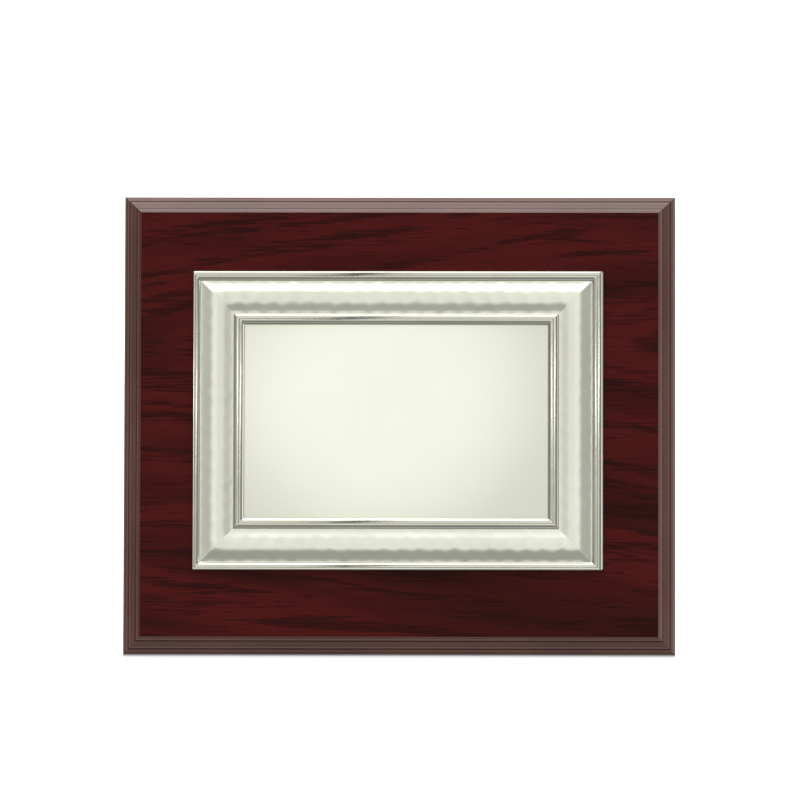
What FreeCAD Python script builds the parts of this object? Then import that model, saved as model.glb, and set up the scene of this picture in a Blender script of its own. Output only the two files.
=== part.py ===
"""Award plaque: a veneered board with a pressed metal plate and a folding rear strut.

Board frame: X to the right, Y from the face to the back, Z up the board.
The back of the board is y = 0, its lower edge z = 0. The finished plaque stands
on the board's lower rear edge and on the strut's foot, leaning back by `lean`.
Hinge frame: the same axes about the hinge pin, with the strut folded flat.
"""
import FreeCAD, Part
import math
import os
import re

import Sketcher
from FreeCAD import Placement, Rotation, Vector

SIZES = {
    # board
    "board_width": 240,
    "board_height": 200,
    "core_thickness": 15,
    "veneer_thickness": 0.6,
    "back_thickness": 0.4,
    "rear_chamfer": 1.2,
    # routed edge: widths run outward from the face, depths back from it
    "bevel_width": 1.65,
    "bevel_depth": 1.2,
    "quirk_width": 0.25,
    "quirk_depth": 1.0,
    "slope_width": 3.2,
    "slope_depth": 2.0,
    "bead_quirk_depth": 0.8,
    "round_width": 2.4,
    "round_depth": 3.0,
    "round_rise": 0.7,
    # pressed plate
    "plate_width": 178,
    "plate_height": 130,
    "plate_shift_x": -0.45,
    "plate_shift_z": 1.6,
    "emboss_spare_x": 1.7,
    "emboss_spare_z": 2.1,
    "emboss_shift_x": -0.96,
    "emboss_shift_z": -0.52,
    "sheet_thickness": 0.5,
    "bead_width": 4.75,
    "bead_rise": 1.2,
    "ridge_outer_run": 4.6,
    "ridge_crown_run": 6.1,
    "ridge_inner_run": 3.7,
    "ridge_rise": 2.2,
    "crown_rise": 0.5,
    # what lies behind the pressed plate
    "panel_thickness": 0.8,
    "panel_inset": 1.25,
    "card_thickness": 0.8,
    "card_clearance": 0.4,
    "filler_clearance": 0.6,
    "tape_thickness": 0.5,
    "tape_width": 19,
    "tape_inset_x": 14,
    "tape_inset_z": 11.5,
    # keyhole hanger
    "hanger_width": 18,
    "hanger_height": 44,
    "hanger_thickness": 1,
    "hanger_corner": 3,
    "hanger_drop": 30,
    "keyhole_radius": 4.5,
    "keyhole_slot_radius": 2.2,
    "keyhole_rise": 11,
    "relief_radius": 6,
    "relief_depth": 8,
    "relief_drop": 1,
    "hanger_screw_spacing": 34,
    # hinge
    "hinge_drop": 82,
    "hinge_width": 30,
    "leaf_length": 14,
    "leaf_thickness": 1,
    "knuckle_radius": 1.8,
    "knuckle_lift": 0.3,
    "knuckle_gap": 0.3,
    "moving_knuckle": 10,
    "pin_radius": 0.8,
    "pin_clearance": 0.05,
    "pin_head_radius": 1.4,
    "pin_head_length": 0.6,
    "hinge_screw_spacing": 18,
    "hinge_screw_drop": 8.5,
    # strut
    "strut_thickness": 5,
    "strut_top_width": 34,
    "strut_foot_width": 52,
    "strut_angle": 28,
    "lean": 10,
    "stop_clearance": 0.1,
    # wood screws
    "screw_radius": 1.25,
    "screw_head_radius": 2.2,
    "screw_tip": 1.6,
    "screw_clearance": 0.05,
    "hanger_screw_length": 11,
    "board_screw_length": 10,
    "strut_screw_length": 4.6,
}

# How far cutting shapes run on past what they cut, and the least volume that a cut must take.
CUT_MARGIN = 2
HOLE_MARGIN = 0.5
HOLLOW_MARGIN = 1
LEAST_CUT = 1e-3
SAME_PLACE = 1e-6

document = FreeCAD.newDocument("Plaque")
sheet = document.addObject("Spreadsheet::Sheet", "Sizes")
for row, (alias, number) in enumerate(SIZES.items(), start=1):
    sheet.set(f"A{row}", alias)
    sheet.set(f"B{row}", str(number))
    sheet.setAlias(f"B{row}", alias)
document.recompute()


def full(formula):
    """Return a formula with each alias written as a cell of the sheet."""

    def cell(word):
        return f"Sizes.{word[0]}" if word[0] in SIZES else word[0]

    return re.sub(r"[a-z_]+", cell, str(formula))


def value(formula):
    """Work a formula out with the sheet's present numbers."""
    result = sheet.evalExpression(full(formula))
    return float(getattr(result, "Value", result))


# Formulas that several sub-parts share.
THICKNESS = "(core_thickness + veneer_thickness + back_thickness)"
MOULDING_WIDTH = "(bevel_width + quirk_width + slope_width + round_width)"
SEAT = "(tape_thickness + card_thickness)"
PANEL_TOP = f"({SEAT} + panel_thickness)"
PLATE_X = "plate_shift_x"
PLATE_Z = "(board_height/2 + plate_shift_z)"
EMBOSS_WIDTH = "(plate_width + emboss_spare_x)"
EMBOSS_HEIGHT = "(plate_height + emboss_spare_z)"
EMBOSS_X = f"({PLATE_X} + emboss_shift_x)"
EMBOSS_Z = f"({PLATE_Z} + emboss_shift_z)"
EMBOSS_TOP = f"({EMBOSS_Z} + {EMBOSS_HEIGHT}/2)"
RIDGE_RUN = "(ridge_outer_run + ridge_crown_run + ridge_inner_run)"
BORDER = f"(2*bead_width + {RIDGE_RUN})"
PANEL_OVERLAP = "(bead_width - panel_inset)"
PANEL_WIDTH = f"({EMBOSS_WIDTH} - 2*{BORDER})"
PANEL_HEIGHT = f"({EMBOSS_HEIGHT} - 2*{BORDER})"
HANGER_Z = "(board_height - hanger_drop)"
KEYHOLE_Z = f"({HANGER_Z} - keyhole_rise/2 + keyhole_slot_radius/2)"
SCREW_HOLE = "(screw_radius + screw_clearance)"
HEAD_DEPTH = "(screw_head_radius - screw_radius)"
HINGE_Z = "(board_height - hinge_drop)"
PIN_OFFSET = "(knuckle_radius + knuckle_lift)"
PIN_RISE = f"({HINGE_Z}*cos(lean) - ({PIN_OFFSET} + back_thickness + rear_chamfer)*sin(lean))"
OPEN_LEAN = "(strut_angle - lean)"


def plane(body, role):
    """Return one of the origin planes of a body."""
    return next(item for item in body.Origin.OriginFeatures if item.Role == role)


def new_body(name):
    """Start a sub-part; a body may hold several solids of one kind."""
    body = document.addObject("PartDesign::Body", name)
    body.AllowCompound = True
    return body


def new_sketch(body, name, role, offset="0", at=("0", "0")):
    """Attach an empty sketch to an origin plane, moved along its normal and in its own X and Y."""
    sketch = body.newObject("Sketcher::SketchObject", name)
    sketch.AttachmentSupport = (plane(body, role), [""])
    sketch.MapMode = "FlatFace"
    for axis, formula in zip("xyz", (*at, offset)):
        sketch.setExpression(f"AttachmentOffset.Base.{axis}", full(formula))
    return sketch


def bind(sketch, kind, *place, formula):
    """Add a dimension to a sketch and tie it to a formula."""
    index = sketch.addConstraint(Sketcher.Constraint(kind, *place, value(formula)))
    sketch.setExpression(f"Constraints[{index}]", full(formula))


def add_loop(sketch, corners, bulges=None):
    """Draw a closed outline.

    corners: pairs of formulas. bulges: the rise of each side that is an arc, by side number;
    a positive rise bulges to the right of the way the outline runs.
    """
    bulges = bulges or {}
    count = len(corners)
    points = [Vector(value(x), value(y), 0) for x, y in corners]
    ends = []
    for side, start in enumerate(points):
        end = points[(side + 1) % count]
        if side in bulges:
            along = end - start
            right = Vector(along.y, -along.x, 0).normalize()
            middle = (start + end) * 0.5 + right * value(bulges[side])
            index = sketch.addGeometry(Part.Arc(start, middle, end), False)
            forward = sketch.getPoint(index, 1).distanceToPoint(start) < along.Length / 2
            ends.append((index, 1, 2) if forward else (index, 2, 1))
        else:
            index = sketch.addGeometry(Part.LineSegment(start, end), False)
            ends.append((index, 1, 2))
    for side, (index, _, last) in enumerate(ends):
        following, first, _ = ends[(side + 1) % count]
        sketch.addConstraint(Sketcher.Constraint("Coincident", index, last, following, first))
    for side, (x, y) in enumerate(corners):
        index, first, _ = ends[side]
        bind(sketch, "DistanceX", -1, 1, index, first, formula=x)
        bind(sketch, "DistanceY", -1, 1, index, first, formula=y)
    for side, rise in bulges.items():
        (x0, y0), (x1, y1) = corners[side], corners[(side + 1) % count]
        across, up = f"(({x1}) - ({x0}))", f"(({y1}) - ({y0}))"
        chord = f"sqrt({across}^2 + {up}^2)"
        # The centre lies on the chord's bisector, this far to the right of the chord.
        reach = f"(({rise})/2 - {chord}^2/(8*({rise})))"
        if abs(value(up)) > abs(value(across)):
            centre = f"(({x0}) + ({x1}))/2 + {up}/{chord}*{reach}"
            bind(sketch, "DistanceX", -1, 1, ends[side][0], 3, formula=centre)
        else:
            centre = f"(({y0}) + ({y1}))/2 - {across}/{chord}*{reach}"
            bind(sketch, "DistanceY", -1, 1, ends[side][0], 3, formula=centre)


def add_circle(sketch, x, y, radius):
    """Draw a circle tied to formulas."""
    centre = Vector(value(x), value(y), 0)
    index = sketch.addGeometry(Part.Circle(centre, Vector(0, 0, 1), value(radius)), False)
    bind(sketch, "DistanceX", -1, 1, index, 3, formula=x)
    bind(sketch, "DistanceY", -1, 1, index, 3, formula=y)
    bind(sketch, "Radius", index, formula=radius)


def box_corners(x, z, width, height):
    """Corners of a rectangle about a centre."""
    low_x, high_x = f"{x} - {width}/2", f"{x} + {width}/2"
    low_z, high_z = f"{z} - {height}/2", f"{z} + {height}/2"
    return [(low_x, low_z), (high_x, low_z), (high_x, high_z), (low_x, high_z)]


def add_slot(sketch, x, low_z, high_z, radius):
    """Draw an upright slot with round ends."""
    corners = [
        (f"{x} - {radius}", low_z),
        (f"{x} + {radius}", low_z),
        (f"{x} + {radius}", high_z),
        (f"{x} - {radius}", high_z),
    ]
    add_loop(sketch, corners, {0: radius, 2: radius})


def pad(body, sketch, name, length, backward=False, both_ways=False):
    """Give a sketch thickness."""
    feature = body.newObject("PartDesign::Pad", name)
    feature.Profile = sketch
    feature.setExpression("Length", full(length))
    feature.Reversed = backward
    if both_ways:
        feature.SideType = "Symmetric"
    document.recompute()
    return feature


def pocket(body, sketch, name, depth=None, backward=False):
    """Cut a sketch out, to a depth, or right through both ways when no depth is given."""
    before = body.Shape.Volume
    feature = body.newObject("PartDesign::Pocket", name)
    feature.Profile = sketch
    if depth is None:
        feature.SideType = "Symmetric"
        feature.Type = "ThroughAll"
    else:
        feature.setExpression("Length", full(depth))
    feature.Reversed = backward
    document.recompute()
    if body.Shape.Volume > before - LEAST_CUT:
        raise RuntimeError(f"{body.Name}: {name} cuts nothing")
    return feature


def sweep(body, name, section, path, cut=False):
    """Run a section round a path whose corners are mitred."""
    kind = "PartDesign::SubtractivePipe" if cut else "PartDesign::AdditivePipe"
    before = body.Shape.Volume if cut else 0
    feature = body.newObject(kind, name)
    feature.Profile = section
    feature.Spine = (path, [f"Edge{number + 1}" for number in range(path.GeometryCount)])
    feature.Transition = "Right corner"
    document.recompute()
    if cut and body.Shape.Volume > before - LEAST_CUT:
        raise RuntimeError(f"{body.Name}: {name} cuts nothing")
    return feature


def rectangle_path(body, name, x, z, width, height):
    """Draw a rectangle in the board's plane that starts at the middle of its top side."""
    sketch = new_sketch(body, name, "XZ_Plane")
    (left, low), (right, _), (_, top), _ = box_corners(x, z, width, height)
    add_loop(sketch, [("0", top), (right, top), (right, low), (left, low), (left, top)])
    return sketch


def rout_edge(body):
    """Cut the moulded edge round a sheet or board: bevel, quirk, slope, quirk and quarter round."""
    width, depth = MOULDING_WIDTH, "0"
    steps = [
        ("bevel_width", "bevel_depth"),
        ("quirk_width", "quirk_depth"),
        ("slope_width", "slope_depth"),
        ("0", "bead_quirk_depth"),
        ("round_width", "round_depth"),
    ]
    corners = [(f"-{THICKNESS}", f"board_height - {width}")]
    for step_width, step_depth in steps:
        width = f"{width} - {step_width}"
        depth = f"{depth} + {step_depth}"
        corners.append((f"-{THICKNESS} + {depth}", f"board_height - ({width})"))
    round_side = len(corners) - 2
    corners.append((corners[-1][0], f"board_height + {CUT_MARGIN}"))
    corners.append((f"-{THICKNESS} - {CUT_MARGIN}", f"board_height + {CUT_MARGIN}"))
    corners.append((f"-{THICKNESS} - {CUT_MARGIN}", corners[0][1]))
    section = new_sketch(body, f"{body.Name}_edge_section", "YZ_Plane")
    add_loop(section, corners, {round_side: "-round_rise"})
    outline = ("0", "board_height/2", "board_width", "board_height")
    path = rectangle_path(body, f"{body.Name}_edge_path", *outline)
    return sweep(body, f"{body.Name}_edge", section, path, cut=True)


def hanger_screw_spots():
    """Centres of the two screws that hold the keyhole hanger."""
    return [
        ("0", f"{HANGER_Z} - hanger_screw_spacing/2"),
        ("0", f"{HANGER_Z} + hanger_screw_spacing/2"),
    ]


def hinge_screw_spots(hinge_z="0"):
    """Centres of the two screws through a hinge leaf, for a hinge at a height."""
    return [
        ("-hinge_screw_spacing/2", f"{hinge_z} - hinge_screw_drop"),
        ("hinge_screw_spacing/2", f"{hinge_z} - hinge_screw_drop"),
    ]


def board_screw_spots():
    """Centres of all the screws that enter the board."""
    return hanger_screw_spots() + hinge_screw_spots(HINGE_Z)


def add_relief(sketch):
    """Draw the slot behind the keyhole, where the wall screw's head slides up."""
    low, high = f"{KEYHOLE_Z} - relief_drop", f"{KEYHOLE_Z} + keyhole_rise"
    add_slot(sketch, "0", low, high, "relief_radius")


def board_core():
    """Fibreboard core with its routed and painted edge."""
    body = new_body("board_core")
    outline = new_sketch(body, "core_outline", "XZ_Plane", "back_thickness")
    add_loop(outline, box_corners("0", "board_height/2", "board_width", "board_height"))
    pad(body, outline, "core_slab", "core_thickness")
    slab = body.Tip
    rear = [
        f"Edge{number + 1}"
        for number, edge in enumerate(slab.Shape.Edges)
        if edge.BoundBox.YLength < SAME_PLACE
        and abs(edge.BoundBox.YMin + value("back_thickness")) < SAME_PLACE
    ]
    chamfer = body.newObject("PartDesign::Chamfer", "core_rear_chamfer")
    chamfer.Base = (slab, rear)
    chamfer.setExpression("Size", full("rear_chamfer"))
    document.recompute()
    rout_edge(body)
    relief = new_sketch(body, "core_relief", "XZ_Plane", "0")
    add_relief(relief)
    pocket(body, relief, "core_relief_pocket", "relief_depth", backward=True)
    holes = new_sketch(body, "core_screw_holes", "XZ_Plane", "0")
    for x, z in board_screw_spots():
        add_circle(holes, x, z, SCREW_HOLE)
    pocket(body, holes, "core_pilot_holes", "hanger_screw_length", backward=True)
    return body


def face_veneer():
    """Face veneer: the routed bevel runs through its edge."""
    body = new_body("face_veneer")
    outline = new_sketch(body, "veneer_outline", "XZ_Plane", "back_thickness + core_thickness")
    add_loop(outline, box_corners("0", "board_height/2", "board_width", "board_height"))
    pad(body, outline, "veneer_sheet", "veneer_thickness")
    rout_edge(body)
    return body


def back_sheet():
    """Balancing sheet on the back, inside the chamfer."""
    body = new_body("back_sheet")
    outline = new_sketch(body, "back_outline", "XZ_Plane")
    inset_width = "(board_width - 2*rear_chamfer)"
    inset_height = "(board_height - 2*rear_chamfer)"
    add_loop(outline, box_corners("0", "board_height/2", inset_width, inset_height))
    pad(body, outline, "back_layer", "back_thickness")
    openings = new_sketch(body, "back_openings", "XZ_Plane")
    add_relief(openings)
    for x, z in board_screw_spots():
        add_circle(openings, x, z, SCREW_HOLE)
    pocket(body, openings, "back_cut_outs")
    return body


def emboss_section(body, name, drop, foot, reach):
    """Draw the plate's pressed section: outer bead, wide ridge, inner bead.

    drop: how far below the plate's upper surface the section's top runs.
    foot: height of the section's underside. reach: extra width past each end.
    """
    seat = f"{SEAT} + sheet_thickness - {drop}"
    lip = f"{PANEL_TOP} + sheet_thickness - {drop}"
    runs = ["bead_width", "ridge_outer_run", "ridge_crown_run", "ridge_inner_run", "bead_width"]
    heights = [seat, f"{seat} + ridge_rise", f"{seat} + ridge_rise", lip, lip]
    across = "0"
    chain = [(f"-{reach}", seat), ("0", seat)] if reach != "0" else [("0", seat)]
    first = len(chain) - 1
    for run, height in zip(runs, heights):
        across = f"{across} + {run}"
        chain.append((across, height))
    if reach != "0":
        chain.append((f"{across} + {reach}", lip))
    chain.append((chain[-1][0], foot))
    chain.append((chain[0][0], foot))
    corners = [
        (f"-{THICKNESS} - ({height})", f"{EMBOSS_TOP} - ({width})") for width, height in chain
    ]
    section = new_sketch(body, name, "YZ_Plane")
    bulges = {first: "bead_rise", first + 2: "crown_rise", first + 4: "bead_rise"}
    add_loop(section, corners, bulges)
    return section


def emboss_ring(name, drop, foot, reach):
    """Sweep the pressed section round the plate."""
    body = new_body(name)
    section = emboss_section(body, f"{name}_section", drop, foot, reach)
    path = rectangle_path(
        body, f"{name}_path", EMBOSS_X, EMBOSS_Z, EMBOSS_WIDTH, EMBOSS_HEIGHT
    )
    sweep(body, f"{name}_sweep", section, path)
    return body


def plate_block(name, inset):
    """Block that trims a ring to the plate's outline, less an inset."""
    block = document.addObject("Part::Box", name)
    height_out = "(bead_rise + ridge_rise + crown_rise + 4*sheet_thickness)"
    block.setExpression("Length", full(f"plate_width - 2*{inset}"))
    block.setExpression("Width", full(f"{PANEL_TOP} + {height_out} + {CUT_MARGIN}"))
    block.setExpression("Height", full(f"plate_height - 2*{inset}"))
    block.setExpression("Placement.Base.x", full(f"{PLATE_X} - plate_width/2 + {inset}"))
    block.setExpression("Placement.Base.y", full(f"-{THICKNESS} - {PANEL_TOP} - {height_out}"))
    block.setExpression("Placement.Base.z", full(f"{PLATE_Z} - plate_height/2 + {inset}"))
    return block


def trimmed(name, ring, block):
    """Keep the part of a ring that lies inside a block."""
    common = document.addObject("Part::Common", name)
    common.Base = ring
    common.Tool = block
    return common


def plate_frame():
    """Pressed sheet: beads and ridge, with its edge folded back to form a skirt."""
    outer_ring = emboss_ring("relief_outside", "0", "tape_thickness", "0")
    under = f"tape_thickness - {HOLLOW_MARGIN}"
    inner_ring = emboss_ring("relief_inside", "sheet_thickness", under, str(HOLLOW_MARGIN))
    outside = trimmed("plate_outside", outer_ring, plate_block("outline_block", "0"))
    inside = trimmed("plate_inside", inner_ring, plate_block("skirt_block", "sheet_thickness"))
    shell = document.addObject("Part::Cut", "plate_frame")
    shell.Base = outside
    shell.Tool = inside
    document.recompute()
    return shell


def flat_layer(name, x, z, width, height, rise, thickness):
    """Rectangular sheet in front of the veneer, lifted off it by a rise."""
    body = new_body(name)
    outline = new_sketch(body, f"{name}_outline", "XZ_Plane", f"{THICKNESS} + {rise}")
    add_loop(outline, box_corners(x, z, width, height))
    pad(body, outline, f"{name}_layer", thickness)
    return body


def engraving_plate():
    """Flat satin sheet that shows through the pressed frame's window."""
    width = f"({PANEL_WIDTH} + 2*{PANEL_OVERLAP})"
    height = f"({PANEL_HEIGHT} + 2*{PANEL_OVERLAP})"
    return flat_layer(
        "engraving_plate", EMBOSS_X, EMBOSS_Z, width, height, SEAT, "panel_thickness"
    )


def backing_card():
    """Stiff card inside the skirt; the pressed sheet and the engraving plate lie on it."""
    inset = "2*(sheet_thickness + card_clearance)"
    width = f"(plate_width - {inset})"
    height = f"(plate_height - {inset})"
    return flat_layer(
        "backing_card", PLATE_X, PLATE_Z, width, height, "tape_thickness", "card_thickness"
    )


def ridge_filler():
    """Moulded ring that keeps the hollow ridge from denting."""
    body = new_body("ridge_filler")
    outer_slope = "ridge_rise/ridge_outer_run"
    inner_drop = "(ridge_rise - panel_thickness)"
    inner_slope = f"{inner_drop}/ridge_inner_run"
    rise = f"({SEAT} + ridge_rise - filler_clearance)"
    foot_in = f"({BORDER} - {PANEL_OVERLAP} - filler_clearance)"
    crown_end = f"(bead_width + {RIDGE_RUN} - ridge_inner_run)"
    shoulder_in = f"({crown_end} - filler_clearance*{inner_slope})"
    chain = [
        (f"bead_width + filler_clearance/({outer_slope})", SEAT),
        ("bead_width + ridge_outer_run", rise),
        (shoulder_in, rise),
        (foot_in, f"{SEAT} + panel_thickness - filler_clearance/2"),
        (foot_in, SEAT),
    ]
    section = new_sketch(body, "filler_section", "YZ_Plane")
    corners = [
        (f"-{THICKNESS} - ({height})", f"{EMBOSS_TOP} - ({width})") for width, height in chain
    ]
    add_loop(section, corners)
    path = rectangle_path(body, "filler_path", EMBOSS_X, EMBOSS_Z, EMBOSS_WIDTH, EMBOSS_HEIGHT)
    sweep(body, "filler_sweep", section, path)
    return body


def mounting_tape():
    """Strips of double-sided foam tape that hold the plate on the veneer."""
    body = new_body("mounting_tape")
    outline = new_sketch(body, "tape_outline", "XZ_Plane", THICKNESS)
    length = "(plate_width - 2*tape_inset_x)"
    spacing = "(plate_height/2 - tape_inset_z - tape_width/2)"
    for step in (-1, 0, 1):
        centre = f"({PLATE_Z} + {step}*{spacing})"
        add_loop(outline, box_corners(PLATE_X, centre, length, "tape_width"))
    pad(body, outline, "tape_strips", "tape_thickness")
    return body


def keyhole_hanger():
    """Steel keyhole plate screwed over the relief at the top of the back."""
    body = new_body("keyhole_hanger")
    outline = new_sketch(body, "hanger_outline", "XZ_Plane")
    add_loop(outline, box_corners("0", HANGER_Z, "hanger_width", "hanger_height"))
    slab = pad(body, outline, "hanger_slab", "hanger_thickness", backward=True)
    upright = [
        f"Edge{number + 1}"
        for number, edge in enumerate(slab.Shape.Edges)
        if max(edge.BoundBox.XLength, edge.BoundBox.ZLength) < SAME_PLACE
    ]
    fillet = body.newObject("PartDesign::Fillet", "hanger_corners")
    fillet.Base = (slab, upright)
    fillet.setExpression("Radius", full("hanger_corner"))
    document.recompute()
    entry = new_sketch(body, "hanger_keyhole_entry", "XZ_Plane")
    add_circle(entry, "0", KEYHOLE_Z, "keyhole_radius")
    pocket(body, entry, "hanger_entry")
    slot = new_sketch(body, "hanger_keyhole_slot", "XZ_Plane")
    add_slot(slot, "0", KEYHOLE_Z, f"{KEYHOLE_Z} + keyhole_rise", "keyhole_slot_radius")
    pocket(body, slot, "hanger_slot")
    countersink(body, "hanger", hanger_screw_spots(), "0", "hanger_thickness")
    return body


def countersink(body, name, spots, low_y, high_y):
    """Cut screw holes whose countersinks open towards high_y."""
    direction = "1" if value(f"{high_y} - ({low_y})") > 0 else "-1"
    narrow = f"{high_y} - {direction}*{HEAD_DEPTH}"
    for number, (x, z) in enumerate(spots):
        cone = new_sketch(body, f"{name}_countersink_{number}", "XY_Plane", offset=z, at=(x, "0"))
        flare = f"(screw_head_radius + screw_clearance + {HOLE_MARGIN})"
        corners = [
            ("0", f"{low_y} - {direction}*{HOLE_MARGIN}"),
            (SCREW_HOLE, f"{low_y} - {direction}*{HOLE_MARGIN}"),
            (SCREW_HOLE, narrow),
            (flare, f"{high_y} + {direction}*{HOLE_MARGIN}"),
            ("0", f"{high_y} + {direction}*{HOLE_MARGIN}"),
        ]
        add_loop(cone, corners)
        before = body.Shape.Volume
        groove = body.newObject("PartDesign::Groove", f"{name}_hole_{number}")
        groove.Profile = cone
        groove.ReferenceAxis = (cone, ["V_Axis"])
        groove.Angle = 360
        document.recompute()
        if body.Shape.Volume > before - LEAST_CUT:
            raise RuntimeError(f"{name}: hole {number} cuts nothing")


def screws(name, spots, head_y, length, direction):
    """Countersunk wood screws; direction -1 drives them towards the face, 1 towards the back."""
    body = new_body(name)
    for number, (x, z) in enumerate(spots):
        shank = new_sketch(body, f"{name}_profile_{number}", "XY_Plane", offset=z, at=(x, "0"))
        corners = [
            ("0", head_y),
            ("screw_head_radius", head_y),
            ("screw_radius", f"{head_y} + {direction}*{HEAD_DEPTH}"),
            ("screw_radius", f"{head_y} + {direction}*({length} - screw_tip)"),
            ("0", f"{head_y} + {direction}*({length})"),
        ]
        add_loop(shank, corners)
        turned = body.newObject("PartDesign::Revolution", f"{name}_turned_{number}")
        turned.Profile = shank
        turned.ReferenceAxis = (shank, ["V_Axis"])
        turned.Angle = 360
        document.recompute()
    return body


def knuckle_spans(moving):
    """Return start and length along X of the knuckles of one leaf."""
    if moving:
        return [("-moving_knuckle/2", "moving_knuckle")]
    side = "(hinge_width/2 - moving_knuckle/2 - knuckle_gap)"
    return [("-hinge_width/2", side), ("moving_knuckle/2 + knuckle_gap", side)]


def hinge_leaf(name, side, moving):
    """One leaf in the hinge frame; side is -1 on the board and 1 on the strut."""
    body = new_body(name)
    outer = f"{side}*{PIN_OFFSET}"
    inner = f"{side}*({PIN_OFFSET} - leaf_thickness)"
    under = "-(knuckle_radius + knuckle_gap)"
    edge = new_sketch(body, f"{name}_section", "YZ_Plane")
    flat = [(outer, "-leaf_length"), (inner, "-leaf_length"), (inner, under), (outer, under)]
    add_loop(edge, flat)
    pad(body, edge, f"{name}_plate", "hinge_width", both_ways=True)
    for number, (start, length) in enumerate(knuckle_spans(moving)):
        web = new_sketch(body, f"{name}_web_{number}", "YZ_Plane", start)
        add_loop(web, [(outer, under), (inner, under), (inner, "0"), (outer, "0")])
        pad(body, web, f"{name}_web_pad_{number}", length)
        barrel = new_sketch(body, f"{name}_barrel_{number}", "YZ_Plane", start)
        add_circle(barrel, "0", "0", "knuckle_radius")
        pad(body, barrel, f"{name}_barrel_pad_{number}", length)
    bore = new_sketch(body, f"{name}_bore", "YZ_Plane")
    add_circle(bore, "0", "0", "pin_radius + pin_clearance")
    pocket(body, bore, f"{name}_bore_pocket")
    countersink(body, name, hinge_screw_spots(), outer, inner)
    return body


def hinge_pin():
    """Headed hinge pin along X, in the hinge frame."""
    body = new_body("hinge_pin")
    half = new_sketch(body, "pin_profile", "XZ_Plane")
    shoulder = "(hinge_width/2 + pin_clearance)"
    end = f"({shoulder} + pin_head_length)"
    corners = [
        (f"-{end}", "0"),
        (f"{end}", "0"),
        (f"{end}", "pin_radius"),
        (shoulder, "pin_head_radius"),
        (shoulder, "pin_radius"),
        (f"-{shoulder}", "pin_radius"),
        (f"-{shoulder}", "pin_head_radius"),
        (f"-{end}", "pin_radius"),
    ]
    add_loop(half, corners)
    turned = body.newObject("PartDesign::Revolution", "pin_turned")
    turned.Profile = half
    turned.ReferenceAxis = (half, ["H_Axis"])
    turned.Angle = 360
    document.recompute()
    return body


def strut_foot(y):
    """Height in the hinge frame of the foot's end cut, which lies on the floor when open."""
    return f"-({PIN_RISE} + ({y})*sin{OPEN_LEAN})/cos{OPEN_LEAN}"


def strut_leg():
    """Tapered wooden leg. Its bevelled head meets the back and stops the hinge."""
    body = new_body("strut_leg")
    inner = PIN_OFFSET
    outer = f"({PIN_OFFSET} + strut_thickness)"

    def head(y):
        return f"({PIN_OFFSET} - stop_clearance + ({y})*cos(strut_angle))/sin(strut_angle)"

    side = new_sketch(body, "strut_side", "YZ_Plane")
    corners = [
        (inner, strut_foot(inner)),
        (outer, strut_foot(outer)),
        (outer, head(outer)),
        (inner, head(inner)),
    ]
    add_loop(side, corners)
    pad(body, side, "strut_slab", "strut_foot_width", both_ways=True)
    taper = new_sketch(body, "strut_taper", "XZ_Plane")
    top = f"{head(outer)} + {HOLE_MARGIN}"
    low = f"{strut_foot(outer)} - {HOLE_MARGIN}"
    for hand in ("-1", "1"):
        near_top = (f"{hand}*strut_top_width/2", top)
        near_foot = (f"{hand}*strut_foot_width/2", low)
        far_foot = (f"{hand}*(strut_foot_width/2 + {CUT_MARGIN})", low)
        far_top = (f"{hand}*(strut_foot_width/2 + {CUT_MARGIN})", top)
        add_loop(taper, [near_top, near_foot, far_foot, far_top])
    pocket(body, taper, "strut_taper_cut")
    holes = new_sketch(body, "strut_screw_holes", "XZ_Plane", f"-{inner}")
    for x, z in hinge_screw_spots():
        add_circle(holes, x, z, SCREW_HOLE)
    pocket(body, holes, "strut_pilot_holes", "strut_screw_length - leaf_thickness + screw_clearance")
    return body


def lean_placement():
    """Board frame in the plaque's frame: leaning back, lowest edge on the floor, centred in Y."""
    lean = math.radians(value("lean"))
    open_lean = math.radians(value(OPEN_LEAN))
    front = value(f"-{THICKNESS}") * math.cos(lean) + value(MOULDING_WIDTH) * math.sin(lean)
    pin_back = value(PIN_OFFSET) * math.cos(lean) + value(HINGE_Z) * math.sin(lean)
    outer = value(f"{PIN_OFFSET} + strut_thickness")
    foot = value(strut_foot(outer))
    back = pin_back + outer * math.cos(open_lean) - foot * math.sin(open_lean)
    rise = -value("back_thickness + rear_chamfer") * math.sin(lean)
    return Placement(Vector(0, -(front + back) / 2, rise), Rotation(Vector(1, 0, 0), -value("lean")))


def hinge_placement(opened):
    """Hinge frame in the plaque's frame, on the board or turned with the open strut."""
    pin = Placement(Vector(0, value(PIN_OFFSET), value(HINGE_Z)), Rotation())
    turn = Placement(Vector(), Rotation(Vector(1, 0, 0), value("strut_angle") if opened else 0))
    return lean_placement() * pin * turn


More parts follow.
